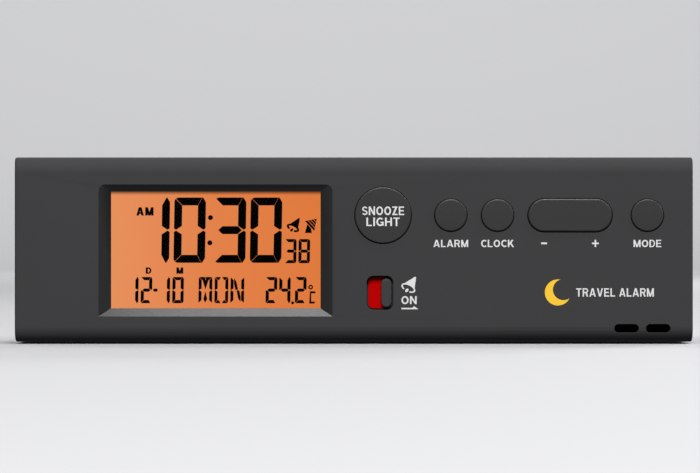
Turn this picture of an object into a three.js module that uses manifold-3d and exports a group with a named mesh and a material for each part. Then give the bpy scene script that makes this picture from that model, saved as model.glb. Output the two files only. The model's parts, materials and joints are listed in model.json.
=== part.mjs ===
// A digital travel alarm clock: a long bar-shaped case with a bevelled display window on its left,
// a row of push keys, an alarm slide switch and two sound slots on its right, and two AAA cells behind.
// Millimetres. +X is to the right seen from the front, the front looks along -Y, +Z is up.
// The origin is on the ground under the middle of the clock. Depths are measured from the front face.
import * as THREE from "three";
import * as BufferGeometryUtils from "three/addons/utils/BufferGeometryUtils.js";
import { ConvexGeometry } from "three/addons/geometries/ConvexGeometry.js";
import Module from "manifold-3d";

const wasm = await Module();
wasm.setup();

// Driving dimensions: the case
const WIDTH = 130;
const HEIGHT = 35.4;
const DEPTH = 26;
const KEY_PROUD = 0.3;
const FOOT_DROP = 0.4;
const FACE_Y = -(DEPTH + KEY_PROUD) / 2 + KEY_PROUD;
const BOTTOM = FOOT_DROP;
const TOP = BOTTOM + HEIGHT;
const WALL = 2;
const SKIN = 1.8;
const END_ROUND = 0.4;
const REAR_ROUND = 2.5;
const SPLIT = 16;
const SPLIT_GAP = 0.3;
const FIT = 0.25;
const THIN = 0.05;

// Driving dimensions: the display window and what is behind it
const WINDOW = { x: [-46.63, -6.38], z: [6.82, 29.24] };
const BEVEL = { x: [-48.92, -4.08], z: [5.29, 30.58], round: 1.25 };
const BEVEL_DEPTH = 1.3;
const WINDOW_DEPTH = 2.4;
const WINDOW_RING = { x: [-50.6, -2.5], z: [3.6, 32.4] };
const RING_DEPTH = 3.5;

// Driving dimensions: keys, switch and sound slots
const KEY_Z = 24.72;
const KEY_EDGE = 0.25;
const KEY_TRAVEL = 0.6;
const KEY_GAP = 0.12;
// The silicone pad holds the keys slightly high in their holes
const HOLE_DROP = 0.06;
const KEYS = {
  snooze: { x: 5.6, r: 5.4, sides: 56 },
  alarm: { x: 18.59, r: 3.1, sides: 40 },
  clock: { x: 27.54, r: 3.1, sides: 40 },
  mode: { x: 56.26, r: 3.1, sides: 40 },
};
const ROCKER = { x: 41.44, width: 16.1, height: 6.3, gap: 0.15, pillOffset: 5.6, travel: 0.4 };
const SWITCH = { x: 5.02, z: 9.82, width: 5.1, height: 6.54, corner: 1.3 };
const KNOB = { x: 6.24, width: 2.0, height: 5.5, front: 0.1, edge: 0.2 };
const PLATE = { rim: 0.3, right: KNOB.x + 0.25 };
const SLIDER = { x: [1.9, 10.3], z: [5.7, 13.9], travel: 2.3, front: 1.3, step: 1.6, back: 2.9 };
const SOUND_SLOTS = [52.28, 58.34];
const SOUND_SLOT = { z: 3.02, width: 4.7, height: 1.64 };

// Driving dimensions: board, posts and screws
const BOARD = { front: 8.7, back: 9.9 };
const BOARD_POSTS = [[-53.9, 18], [0.4, 31.2], [30, 5.6]];
const CASE_SCREWS = [[-59.2, 6], [-59.2, 30.2], [59.2, 6], [59.2, 30.2]];
const BOSS_R = 2.3;
const POST_R = 2.1;
const TUBE_R = 3;

// Driving dimensions: battery compartment, door and cells
const BAY = { x: [-54.8, -4.3], z: [7, 29.2], front: 13.2 };
const BAY_WALL = 1.2;
const DOOR = { x: [-55.8, -3.3], z: [6, 30.2], front: 24.3 };
const DOOR_GAP = 0.3;
const DOOR_ROUND = (DEPTH - DOOR.front) / 2;
const DOOR_PIN_R = 0.4;
const DOOR_MIDDLE = (DOOR.x[0] + DOOR.x[1]) / 2;
const CELL = { r: 5.25, length: 44.5, capR: 1.9, depth: 18.75, offset: 5.35 };
const BAY_MIDDLE_Z = (BAY.z[0] + BAY.z[1]) / 2;

// Driving dimensions: sounder and aerial
const PIEZO = { x: 51.5, z: 11.5, r: 6.5, seat: 4.5 };
const AERIAL = { x: [4, 54], z: 25, depth: 19.5, r: 3 };

const FEET = { x: 52, r: 2.8, sides: 18, height: 0.85, depths: { front: 7, rear: 20 } };

// Finishes
const finish = (color, roughness, metalness = 0) =>
  new THREE.MeshStandardMaterial({ color, roughness, metalness });
const LOOKS = {
  shell: () => finish("#404042", 0.6),
  key: () => finish("#3d3d3e", 0.55),
  knob: () => finish("#59595b", 0.5),
  red: () => finish("#c00003", 0.5),
  rubber: () => finish("#1c1c1d", 0.85),
  silicone: () => finish("#c9c9c4", 0.7),
  carbon: () => finish("#151515", 0.9),
  clear: () => finish("#dfe4e6", 0.05),
  amber: () => finish("#e8935a", 0.4),
  white: () => finish("#e6e6e2", 0.5),
  board: () => finish("#1f5a38", 0.5),
  steel: () => finish("#b9bcc0", 0.35, 1),
  brass: () => finish("#c9a24a", 0.35, 1),
  ceramic: () => finish("#dcd8cc", 0.6),
  ferrite: () => finish("#2b2b2e", 0.7),
  copper: () => finish("#a85a2a", 0.4, 1),
  black: () => finish("#141414", 0.5),
  jacket: () => finish("#26384f", 0.4),
  redWire: () => finish("#b01818", 0.5),
  blackWire: () => finish("#171717", 0.5),
};

// Solids
const ROUND_STEPS = 3;
const FUNNEL_STEPS = 5;

function solid(geometry) {
  const bare = geometry.clone();
  bare.deleteAttribute("normal");
  bare.deleteAttribute("uv");
  const merged = BufferGeometryUtils.mergeVertices(bare, 1e-5);
  const vertProperties = new Float32Array(merged.attributes.position.array);
  const triVerts = new Uint32Array(merged.index.array);
  return new wasm.Manifold(new wasm.Mesh({ numProp: 3, vertProperties, triVerts }));
}

function surface(manifold) {
  const mesh = manifold.getMesh();
  const geometry = new THREE.BufferGeometry();
  geometry.setAttribute("position", new THREE.BufferAttribute(mesh.vertProperties, 3));
  geometry.setIndex(new THREE.BufferAttribute(mesh.triVerts, 1));
  geometry.computeVertexNormals();
  return geometry;
}

const joined = (...geometries) => geometries.map(solid).reduce((whole, next) => whole.add(next));

// A block between two values on each axis; the middle pair are depths behind the front face.
function block(x, depth, z) {
  const geometry = new THREE.BoxGeometry(x[1] - x[0], depth[1] - depth[0], z[1] - z[0]);
  const y = FACE_Y + (depth[0] + depth[1]) / 2;
  return geometry.translate((x[0] + x[1]) / 2, y, (z[0] + z[1]) / 2);
}

// A round bar that runs from front to back.
function bar(x, z, depth, r, sides = 14) {
  const geometry = new THREE.CylinderGeometry(r, r, depth[1] - depth[0], sides);
  return geometry.translate(x, FACE_Y + (depth[0] + depth[1]) / 2, z);
}

// A turned solid whose axis runs from front to back; its profile is a list of [radius, depth].
function turned(x, z, profile, sides) {
  const points = profile.map(([r, depth]) => new THREE.Vector2(r, FACE_Y + depth));
  return new THREE.LatheGeometry(points, sides).translate(x, 0, z);
}

// A solid with one outline on the front plane, from one depth to another.
function plate(outline, depth, round = 0) {
  const options = {
    depth: depth[1] - depth[0] - 2 * round,
    bevelEnabled: round > 0,
    bevelThickness: round,
    bevelSize: round,
    bevelOffset: -round,
    bevelSegments: ROUND_STEPS,
    curveSegments: 10,
  };
  const geometry = new THREE.ExtrudeGeometry(outline, options);
  return geometry.translate(0, 0, round).rotateX(Math.PI / 2).translate(0, FACE_Y + depth[1], 0);
}

// A solid with one outline of depth and height, which runs along the clock.
function beam(outline, x, round = 0) {
  const options = {
    depth: x[1] - x[0] - 2 * round,
    bevelEnabled: round > 0,
    bevelThickness: round,
    bevelSize: round,
    bevelOffset: -round,
    bevelSegments: ROUND_STEPS,
    curveSegments: 3,
  };
  const geometry = new THREE.ExtrudeGeometry(outline, options).translate(0, 0, x[0] + round);
  const alongX = new THREE.Matrix4().makeBasis(
    new THREE.Vector3(0, 1, 0),
    new THREE.Vector3(0, 0, 1),
    new THREE.Vector3(1, 0, 0),
  );
  return geometry.applyMatrix4(alongX).translate(0, FACE_Y, 0);
}

// A rounded rectangle round a middle point.
function roundedRectangle(x, z, width, height, corner) {
  const shape = new THREE.Shape();
  const [left, right] = [x - width / 2, x + width / 2];
  const [low, high] = [z - height / 2, z + height / 2];
  const quarter = Math.PI / 2;
  shape.moveTo(left + corner, low);
  shape.absarc(right - corner, low + corner, corner, -quarter, 0);
  shape.absarc(right - corner, high - corner, corner, 0, quarter);
  shape.absarc(left + corner, high - corner, corner, quarter, 2 * quarter);
  shape.absarc(left + corner, low + corner, corner, 2 * quarter, 3 * quarter);
  return shape;
}

// Two half rounds joined by straight sides, lying along the clock or standing up.
function pill(x, z, width, height) {
  const shape = new THREE.Shape();
  const r = Math.min(width, height) / 2;
  const [overX, overZ] = [width / 2 - r, height / 2 - r];
  const start = width > height ? -Math.PI / 2 : 0;
  shape.absarc(x + overX, z + overZ, r, start, start + Math.PI);
  shape.absarc(x - overX, z - overZ, r, start + Math.PI, start + 2 * Math.PI);
  shape.closePath();
  return shape;
}

// A wire or spring: a round section swept along a curve.
function wire(curve, r, steps, sides = 6) {
  const section = new THREE.Shape();
  section.absarc(0, 0, r, 0, 2 * Math.PI);
  const options = { steps, extrudePath: curve, curveSegments: sides };
  return new THREE.ExtrudeGeometry(section, options);
}

const route = (points) =>
  new THREE.CatmullRomCurve3(points.map(([x, depth, z]) => new THREE.Vector3(x, FACE_Y + depth, z)));

class Coil extends THREE.Curve {
  constructor(start, length, z, radii, turns) {
    super();
    Object.assign(this, { start, length, z, radii, turns });
  }
  getPoint(t, target = new THREE.Vector3()) {
    const angle = 2 * Math.PI * this.turns * t;
    const r = this.radii[0] + (this.radii[1] - this.radii[0]) * t;
    const y = FACE_Y + CELL.depth + r * Math.cos(angle);
    return target.set(this.start + this.length * t, y, this.z + r * Math.sin(angle));
  }
}

// Case outline: the face rolls back a little under the top edge, then turns tightly; the lower
// front edge has one wide round, and the two rear edges smaller ones.
function caseOutline() {
  const brow = { r: 5.4, turn: THREE.MathUtils.degToRad(26) };
  const brim = 1.1;
  const chin = 2.9;
  const browTop = TOP - brim;
  const browDepth = brow.r * (1 - Math.cos(brow.turn)) + brim * Math.cos(brow.turn);
  const browStart = browTop + brim * Math.sin(brow.turn) - brow.r * Math.sin(brow.turn);
  const shape = new THREE.Shape();
  shape.moveTo(chin, BOTTOM);
  shape.lineTo(DEPTH - REAR_ROUND, BOTTOM);
  shape.absarc(DEPTH - REAR_ROUND, BOTTOM + REAR_ROUND, REAR_ROUND, -Math.PI / 2, 0);
  shape.absarc(DEPTH - REAR_ROUND, TOP - REAR_ROUND, REAR_ROUND, 0, Math.PI / 2);
  shape.absarc(browDepth, browTop, brim, Math.PI / 2, Math.PI - brow.turn);
  shape.absarc(brow.r, browStart, brow.r, Math.PI - brow.turn, Math.PI);
  shape.absarc(chin, BOTTOM + chin, chin, Math.PI, 1.5 * Math.PI);
  return shape;
}

function hollowOutline(depth) {
  const corner = 1.2;
  const middle = (depth[0] + depth[1]) / 2;
  const height = HEIGHT - 2 * SKIN;
  return roundedRectangle(middle, (BOTTOM + TOP) / 2, depth[1] - depth[0], height, corner);
}

const inner = { x: [-WIDTH / 2 + WALL, WIDTH / 2 - WALL], z: [BOTTOM + SKIN, TOP - SKIN] };
const inset = (range, by) => [range[0] + by, range[1] - by];
const outward = (range, by) => inset(range, -by);

const caseBody = () => solid(beam(caseOutline(), [-WIDTH / 2, WIDTH / 2], END_ROUND));

// Front case
// The funnel's two upper corners are rounded at the face and run down to sharp corners at the lens.
function windowFunnel() {
  const corners = (rectangle, depth, round) =>
    rectangle.x.flatMap((x, side) => {
      const inwards = side === 0 ? 1 : -1;
      const steps = round > 0 ? Array.from({ length: FUNNEL_STEPS + 1 }, (_, step) => step) : [0];
      const upper = steps.map((step) => {
        const angle = (step / FUNNEL_STEPS) * (Math.PI / 2);
        const across = x + inwards * round * (1 - Math.cos(angle));
        return new THREE.Vector3(across, FACE_Y + depth, rectangle.z[1] - round * (1 - Math.sin(angle)));
      });
      return [...upper, new THREE.Vector3(x, FACE_Y + depth, rectangle.z[0])];
    });
  // The slope is carried on in front of the face so that it cuts the face cleanly.
  const ahead = 0.5;
  const slope = ahead / BEVEL_DEPTH;
  const wider = {
    x: [BEVEL.x[0] + slope * (BEVEL.x[0] - WINDOW.x[0]), BEVEL.x[1] + slope * (BEVEL.x[1] - WINDOW.x[1])],
    z: [BEVEL.z[0] + slope * (BEVEL.z[0] - WINDOW.z[0]), BEVEL.z[1] + slope * (BEVEL.z[1] - WINDOW.z[1])],
  };
  const funnelRound = BEVEL.round * (1 + slope);
  return new ConvexGeometry([...corners(wider, -ahead, funnelRound), ...corners(WINDOW, BEVEL_DEPTH, 0)]);
}

// The front wall is thinner behind the alarm switch, where its slider moves.
function sliderPocket() {
  const room = 0.3;
  const x = [SLIDER.x[0] - SLIDER.travel - room, SLIDER.x[1] + room];
  return block(x, [SLIDER.front - THIN, WALL + 1], outward(SLIDER.z, room));
}

function frontCase() {
  const beyond = 40;
  let body = caseBody().intersect(solid(block([-70, 70], [-5, SPLIT], [-5, beyond])));
  body = body.subtract(solid(beam(hollowOutline([WALL, beyond]), inner.x)));
  body = body.add(solid(block(WINDOW_RING.x, [WALL - 0.5, RING_DEPTH], WINDOW_RING.z)));
  body = body.add(solid(bar(PIEZO.x, PIEZO.z, [WALL - 0.5, PIEZO.seat], PIEZO.r + 0.4, 20)));
  for (const [x, z] of CASE_SCREWS) {
    body = body.add(solid(bar(x, z, [WALL - 0.5, SPLIT - 0.2], BOSS_R)));
  }
  for (const [x, z] of BOARD_POSTS) {
    body = body.add(solid(bar(x, z, [WALL - 0.5, BOARD.front - THIN], POST_R)));
  }
  const cuts = [
    windowFunnel(),
    block(WINDOW.x, [1, 5], WINDOW.z),
    block(outward(WINDOW.x, 1.57), [WINDOW_DEPTH, 5], outward(WINDOW.z, 1.6)),
    bar(PIEZO.x, PIEZO.z, [WALL, 6], PIEZO.r - 0.6, 20),
    plate(rockerPill(ROCKER.gap, HOLE_DROP), [-1, 3]),
    plate(roundedRectangle(SWITCH.x, SWITCH.z, SWITCH.width, SWITCH.height, SWITCH.corner), [-1, 3]),
    sliderPocket(),
    ...Object.values(KEYS).map(({ x, r, sides }) => bar(x, KEY_Z - HOLE_DROP, [-1, 3], r + KEY_GAP, sides)),
    ...SOUND_SLOTS.map((x) => plate(pill(x, SOUND_SLOT.z, SOUND_SLOT.width, SOUND_SLOT.height), [-1, 3])),
    ...CASE_SCREWS.map(([x, z]) => bar(x, z, [8, 20], 1.15, 10)),
    ...BOARD_POSTS.map(([x, z]) => bar(x, z, [3.5, 10], 1.05, 10)),
    ...footRecesses(FEET.depths.front),
  ];
  for (const cut of cuts) {
    body = body.subtract(solid(cut));
  }
  return surface(body);
}

// Rear case
function rearCase() {
  const tongue = { out: FIT, in: FIT + 0.8 };
  const joint = SPLIT + SPLIT_GAP;
  let body = caseBody().intersect(solid(block([-70, 70], [joint, 30], [-5, 40])));
  body = body.subtract(solid(beam(hollowOutline([-10, DEPTH - SKIN]), inner.x)));
  body = body.add(
    solid(block(outward(inner.x, 0.5), [joint, joint + 1.5], outward(inner.z, 0.5))),
  );
  body = body.add(
    solid(block(inset(inner.x, tongue.out), [joint - 1.8, joint + 1], inset(inner.z, tongue.out))),
  );
  body = body.subtract(
    solid(block(inset(inner.x, tongue.in), [5, joint + 1.6], inset(inner.z, tongue.in))),
  );
  const additions = [
    block(outward(BAY.x, BAY_WALL), [12, DEPTH - SKIN + 0.1], outward(BAY.z, BAY_WALL)),
    block(outward(BAY.x, 2 * BAY_WALL), [22.6, DEPTH - SKIN + 0.1], outward(BAY.z, 2 * BAY_WALL)),
    ...CASE_SCREWS.map(([x, z]) => bar(x, z, [SPLIT + 0.1, DEPTH - 1], TUBE_R, 16)),
    ...[31, 50].map((x) => block([x - 0.7, x + 0.7], [17.6, DEPTH - 1], [AERIAL.z - 4.4, AERIAL.z + 4.4])),
  ];
  for (const addition of additions) {
    body = body.add(solid(addition));
  }
  const pinX = outward(DOOR.x, 1);
  const cuts = [
    block(BAY.x, [BAY.front, 30], BAY.z),
    block(outward(DOOR.x, DOOR_GAP), [DEPTH - SKIN, 30], outward(DOOR.z, DOOR_GAP)),
    doorPin(pinX, DOOR_PIN_R + 0.15),
    block([DOOR_MIDDLE - 5, DOOR_MIDDLE + 5], [25.2, 30], [DOOR.z[1] - 1, DOOR.z[1] + 2.4]),
    ...CASE_SCREWS.map(([x, z]) => bar(x, z, [5, 30], 1.3, 10)),
    ...CASE_SCREWS.map(([x, z]) => bar(x, z, [18.6, 30], 2.2, 16)),
    aerialBar(outward(AERIAL.x, 1), AERIAL.r + 0.15),
    block([29, 52], [15, AERIAL.depth], [AERIAL.z - 2.6, AERIAL.z + 2.6]),
    ...cellHeights().map((z) => block([BAY.x[1] - 1, BAY.x[1] + 2], [14.5, 15.7], [z - 1.3, z + 1.3])),
    ...footRecesses(FEET.depths.rear),
  ];
  for (const cut of cuts) {
    body = body.subtract(solid(cut));
  }
  return surface(body);
}

// Battery door, hinged on two pins along its lower edge
function doorPin(x, r) {
  const geometry = new THREE.CylinderGeometry(r, r, x[1] - x[0], 12).rotateZ(Math.PI / 2);
  const y = FACE_Y + DOOR.front + DOOR_ROUND;
  return geometry.translate((x[0] + x[1]) / 2, y, DOOR.z[0] + DOOR_ROUND);
}

function batteryDoor() {
  const outline = new THREE.Shape();
  outline.moveTo(DEPTH, DOOR.z[0] + DOOR_ROUND);
  outline.lineTo(DEPTH, DOOR.z[1]);
  outline.lineTo(DOOR.front, DOOR.z[1]);
  outline.lineTo(DOOR.front, DOOR.z[0] + DOOR_ROUND);
  outline.absarc(DOOR.front + DOOR_ROUND, DOOR.z[0] + DOOR_ROUND, DOOR_ROUND, Math.PI, 2 * Math.PI);
  let body = joined(beam(outline, DOOR.x), doorPin(outward(DOOR.x, 0.8), DOOR_PIN_R));
  const grip = { halfWidth: 5, z: [24.2, 28.6], depth: 25.3 };
  body = body.subtract(
    solid(block([DOOR_MIDDLE - grip.halfWidth, DOOR_MIDDLE + grip.halfWidth], [grip.depth, 30], grip.z)),
  );
  for (const z of [25.2, 26.4, 27.6]) {
    const ridge = [DOOR_MIDDLE - 4.4, DOOR_MIDDLE + 4.4];
    body = body.add(solid(block(ridge, [grip.depth - 0.2, DEPTH - 0.1], [z - 0.25, z + 0.25])));
  }
  const arrow = new THREE.Shape();
  arrow.moveTo(DOOR_MIDDLE - 2, 22.6);
  arrow.lineTo(DOOR_MIDDLE, 20.6);
  arrow.lineTo(DOOR_MIDDLE + 2, 22.6);
  arrow.closePath();
  body = body.subtract(solid(plate(arrow, [DEPTH - 0.35, 30])));
  for (const side of [-1, 1]) {
    const x = DOOR_MIDDLE + 6 * side;
    body = body.subtract(solid(block([x - 0.3, x + 0.3], [20, 30], [23.4, 35])));
  }
  return surface(body);
}

// Feet
const footRecesses = (depth) =>
  [-1, 1].map((side) => {
    const r = FEET.r + 0.1;
    const recess = new THREE.CylinderGeometry(r, r, 2, FEET.sides).rotateX(Math.PI / 2);
    return recess.translate(side * FEET.x, FACE_Y + depth, FEET.height + THIN - 1);
  });

function foot(side, depth) {
  const edge = 0.15;
  const points = [
    [0, 0],
    [FEET.r - edge, 0],
    [FEET.r, edge],
    [FEET.r, FEET.height],
    [0, FEET.height],
  ].map(([r, z]) => new THREE.Vector2(r, z));
  const geometry = new THREE.LatheGeometry(points, FEET.sides).rotateX(Math.PI / 2);
  return geometry.translate(side * FEET.x, FACE_Y + depth, 0);
}

// Display stack, from front to back
const windowLens = () => block(outward(WINDOW.x, 1.42), [2.45, 3.45], outward(WINDOW.z, 1.45));
const lcdFrontPolarizer = () => block([-47.8, -5.2], [3.8, 4], [5.6, 30.6]);
const lcdFrontGlass = () => block([-48.5, -4.5], [4.05, 4.75], [4.6, 31.6]);
const lcdRearGlass = () => block([-48.5, -4.5], [4.8, 5.5], [7.4, 31.6]);
const lcdRearPolarizer = () => block([-47.8, -5.2], [5.55, 5.75], [7.6, 31.2]);
const zebraStrip = () => block([-46, -7], [4.8, BOARD.front - THIN], [4.8, 6.8]);
const lightGuide = () => block([-47.8, -5], [5.85, 8.35], [7.6, 31.2]);
const reflectorFilm = () => block([-47.8, -5], [8.4, 8.55], [7.6, 31.2]);
const backlightLed = () => block([-49.9, -48.2], [5.9, 8.3], [16.2, 20.2]);

function lcdHolder() {
  const depth = [3.7, BOARD.front - THIN];
  let body = solid(block([-51.4, -3], depth, [3.2, 33]));
  body = body.subtract(solid(block([-50.2, -4.2], [3, 10], [4.4, 31.8])));
  body = body.add(solid(block([-50.4, -4], [5.9, depth[1]], [6.95, 7.3])));
  return surface(body);
}

// Keys: a cap through the front wall, a flange behind it and a stem on the silicone dome
const FLANGE = 0.45;
const STEM = { r: 1.8, back: 5.2 };

function roundKey({ x, r, sides }) {
  const arc = [0, 1, 2, 3].map((step) => {
    const angle = (step / 3) * (Math.PI / 2);
    return [r - KEY_EDGE * (1 - Math.sin(angle)), -KEY_PROUD + KEY_EDGE * (1 - Math.cos(angle))];
  });
  const profile = [
    [0, -KEY_PROUD],
    ...arc,
    [r, WALL + THIN],
    [r + FLANGE, WALL + THIN],
    [r + FLANGE, WALL + 0.8],
    [STEM.r, WALL + 0.8],
    [STEM.r, STEM.back],
    [0, STEM.back],
  ];
  return turned(x, KEY_Z, profile, sides);
}

const rockerPill = (out, drop = 0) =>
  pill(ROCKER.x, KEY_Z - drop, ROCKER.width + 2 * out, ROCKER.height + 2 * out);

function rockerKey() {
  const { x, pillOffset } = ROCKER;
  const flange = { out: 0.6, front: 2.8, back: 3.6 };
  const cap = plate(rockerPill(0), [-KEY_PROUD, flange.front + 0.5], KEY_EDGE);
  const skirt = plate(rockerPill(flange.out), [flange.front, flange.back]);
  const stems = [-1, 1].map((side) =>
    bar(x + side * pillOffset, KEY_Z, [flange.back - 0.4, STEM.back], STEM.r, 12),
  );
  return surface(joined(cap, skirt, ...stems));
}

// Silicone key pad: one sheet with a hollow dome under each key, and a carbon pill in each dome
const DOME = { top: 5.25, shoulder: 6.6, sheet: 7.9, r: 2.2, base: 3.3, hollowR: 2.7, ceiling: 7.5 };
const PILL = { r: 1.5, thickness: 0.35 };
const domePlaces = () => [
  ...Object.values(KEYS).map(({ x }) => x),
  ROCKER.x - ROCKER.pillOffset,
  ROCKER.x + ROCKER.pillOffset,
];

function rubberKeypad() {
  const back = BOARD.front - THIN;
  let body = solid(block([1.5, KEYS.mode.x], [DOME.sheet, back], [KEY_Z - 3.7, KEY_Z + 3.7]));
  body = body.add(solid(bar(KEYS.mode.x, KEY_Z, [DOME.sheet, back], 3.6, 14)));
  for (const x of domePlaces()) {
    const profile = [
      [0, DOME.top],
      [DOME.r, DOME.top],
      [DOME.r, DOME.shoulder],
      [DOME.base, DOME.sheet],
      [DOME.base, back],
      [0, back],
    ];
    body = body.add(solid(turned(x, KEY_Z, profile, 12)));
    body = body.subtract(solid(bar(x, KEY_Z, [DOME.ceiling, 10], DOME.hollowR, 12)));
  }
  return surface(body);
}

function carbonPill(x, travel) {
  const back = BOARD.front - THIN - travel;
  return bar(x, KEY_Z, [back - PILL.thickness, back], PILL.r, 12);
}

// Alarm slide switch: a knob on a wide slider, a red plate on the slider, and the switch behind

function alarmKnob() {
  const knob = plate(
    pill(KNOB.x, SWITCH.z, KNOB.width, KNOB.height),
    [KNOB.front, SLIDER.back],
    KNOB.edge,
  );
  const base = block([PLATE.right + 0.1, SLIDER.x[1]], [SLIDER.front, SLIDER.back], SLIDER.z);
  const tail = block([SLIDER.x[0], PLATE.right + 1], [SLIDER.step, SLIDER.back], SLIDER.z);
  const fork = [-1, 1].map((side) => {
    const x = KNOB.x + side * 1.35;
    return block([x - 0.4, x + 0.4], [SLIDER.back - 0.3, 4.6], [SWITCH.z - 1.5, SWITCH.z + 1.5]);
  });
  return surface(joined(knob, base, tail, ...fork));
}

// The red plate shows inside a narrow dark border and is notched round the knob
function alarmIndicatorPlate() {
  const left = SWITCH.x - SWITCH.width / 2 + PLATE.rim;
  const middle = (left + PLATE.right) / 2;
  const height = SWITCH.height - 2 * PLATE.rim;
  const outline = roundedRectangle(middle, SWITCH.z, PLATE.right - left, height, SWITCH.corner - PLATE.rim);
  const notch = pill(KNOB.x, SWITCH.z, KNOB.width + 2 * THIN, KNOB.height + 2 * THIN);
  const sheet = solid(plate(outline, [SLIDER.front, SLIDER.step - THIN]));
  return surface(sheet.subtract(solid(plate(notch, [-1, 3]))));
}

function slideSwitchBody() {
  const halfWidth = 4.3;
  const halfHeight = 2.2;
  const z = [SWITCH.z - halfHeight, SWITCH.z + halfHeight];
  const body = solid(block([SWITCH.x - halfWidth, SWITCH.x + halfWidth], [5, BOARD.front - THIN], z));
  const track = block([KNOB.x - 3.5, KNOB.x + 1], [4, 7], [SWITCH.z - 1, SWITCH.z + 1]);
  return surface(body.subtract(solid(track)));
}

const slideSwitchLever = () =>
  block([KNOB.x - 0.75, KNOB.x + 0.75], [3.4, 6.8], [SWITCH.z - 0.75, SWITCH.z + 0.75]);

// Main board and what is on it
function mainBoard() {
  const depth = [BOARD.front, BOARD.back];
  let body = joined(block([-56.5, 56.5], depth, [3.6, 33.2]), block([56, 61.5], depth, [9, 27.2]));
  for (const [x, z] of BOARD_POSTS) {
    body = body.subtract(solid(bar(x, z, [5, 15], 1.15, 12)));
  }
  return surface(body);
}

function processorBlob() {
  const base = BOARD.back + THIN;
  const profile = [
    [0, base],
    [5.5, base],
    [4.8, base + 0.6],
    [3.2, base + 1.05],
    [0, base + 1.25],
  ];
  return turned(-30, 18, profile, 16);
}

function quartzCrystal() {
  const r = 1;
  const geometry = new THREE.CylinderGeometry(r, r, 6, 14).rotateZ(Math.PI / 2);
  return geometry.translate(14, FACE_Y + BOARD.back + r + THIN, 8);
}

const receiverChip = () => block([20, 29], [BOARD.back + THIN, BOARD.back + 1.7], [10, 16]);

function thermometerBead() {
  const bead = new THREE.SphereGeometry(1.2, 10, 6);
  return bead.translate(44, FACE_Y + BOARD.back + 1.3, 6.5);
}

// Sounder
const piezoDisc = () => bar(PIEZO.x, PIEZO.z, [PIEZO.seat + THIN, PIEZO.seat + 0.3], PIEZO.r, 20);
const piezoCeramic = () => bar(PIEZO.x, PIEZO.z, [PIEZO.seat + 0.35, PIEZO.seat + 0.55], 4.5, 18);

// Aerial
function aerialBar(x, r) {
  const geometry = new THREE.CylinderGeometry(r, r, x[1] - x[0], 14).rotateZ(Math.PI / 2);
  return geometry.translate((x[0] + x[1]) / 2, FACE_Y + AERIAL.depth, AERIAL.z);
}

function aerialCoil() {
  const [clear, outer, halfLength] = [AERIAL.r + 0.25, 4.3, 9];
  const profile = [
    [clear, -halfLength],
    [outer, -halfLength],
    [outer, halfLength],
    [clear, halfLength],
    [clear, -halfLength],
  ].map(([r, y]) => new THREE.Vector2(r, y));
  const geometry = new THREE.LatheGeometry(profile, 14).rotateZ(Math.PI / 2);
  return geometry.translate(17, FACE_Y + AERIAL.depth, AERIAL.z);
}

// Cells and their contacts: the upper cell points right, the lower one left
const cellHeights = () => [BAY_MIDDLE_Z - CELL.offset, BAY_MIDDLE_Z + CELL.offset];
const CONTACT = { thickness: 0.3, spring: 0.35 };
const CELL_SLACK = 0.5;

function cell(direction, z) {
  const body = CELL.length - 1.1;
  const profile = [
    [0, 0],
    [CELL.r - 0.6, 0],
    [CELL.r, 0.5],
    [CELL.r, body - 0.4],
    [CELL.r - 0.4, body],
    [CELL.capR, body],
    [CELL.capR, CELL.length - 0.2],
    [CELL.capR - 0.3, CELL.length],
    [0, CELL.length],
  ].map(([r, y]) => new THREE.Vector2(r, y));
  const geometry = new THREE.LatheGeometry(profile, 20).rotateZ((-direction * Math.PI) / 2);
  const capEnd = direction > 0 ? BAY.x[1] - CELL_SLACK : BAY.x[0] + CELL_SLACK;
  return geometry.translate(capEnd - direction * CELL.length, FACE_Y + CELL.depth, z);
}

function linkPlate() {
  const x = [BAY.x[0] + THIN, BAY.x[0] + THIN + CONTACT.thickness];
  return block(x, [14.6, 22.8], [BAY_MIDDLE_Z - 9.4, BAY_MIDDLE_Z + 9.4]);
}

function endContact(z) {
  const x = [BAY.x[1] - THIN - CONTACT.thickness, BAY.x[1] - THIN];
  const tab = block([x[0], BAY.x[1] + 2.4], [15, 15.3], [z - 1, z + 1]);
  return surface(joined(block(x, [14.6, 22.8], [z - 4, z + 4]), tab));
}

function cellSpring(direction, z) {
  const end = direction > 0 ? BAY.x[0] : BAY.x[1];
  const plateFace = end + direction * (THIN + CONTACT.thickness);
  const start = plateFace + direction * (CONTACT.spring + THIN);
  const free = BAY.x[1] - BAY.x[0] - CELL.length - CELL_SLACK - THIN - CONTACT.thickness;
  const length = direction * (free - 2 * (CONTACT.spring + THIN) - 0.1);
  return wire(new Coil(start, length, z, [3.6, 2.4], 3.5), CONTACT.spring, 32, 3);
}

// Screws: a head with a cross recess, and a shank
function screw([x, z], seat, headR, headHeight, shankR, length) {
  const profile = [
    [0, seat - length],
    [shankR * 0.5, seat - length],
    [shankR, seat - length + 0.8],
    [shankR, seat],
    [headR, seat],
    [headR, seat + headHeight * 0.6],
    [headR * 0.8, seat + headHeight],
    [0, seat + headHeight],
  ];
  let body = solid(turned(x, z, profile, 12));
  const top = [seat + headHeight * 0.45, seat + headHeight + 1];
  const [arm, half] = [headR * 0.62, headR * 0.13];
  body = body.subtract(solid(block([x - arm, x + arm], top, [z - half, z + half])));
  body = body.subtract(solid(block([x - half, x + half], top, [z - arm, z + arm])));
  return surface(body);
}

const caseScrew = (place) => screw(place, 18.65, 1.9, 1.4, 1, 8);
const boardScrew = (place) => screw(place, BOARD.back + THIN, 1.7, 1.2, 0.85, 5.4);

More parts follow.
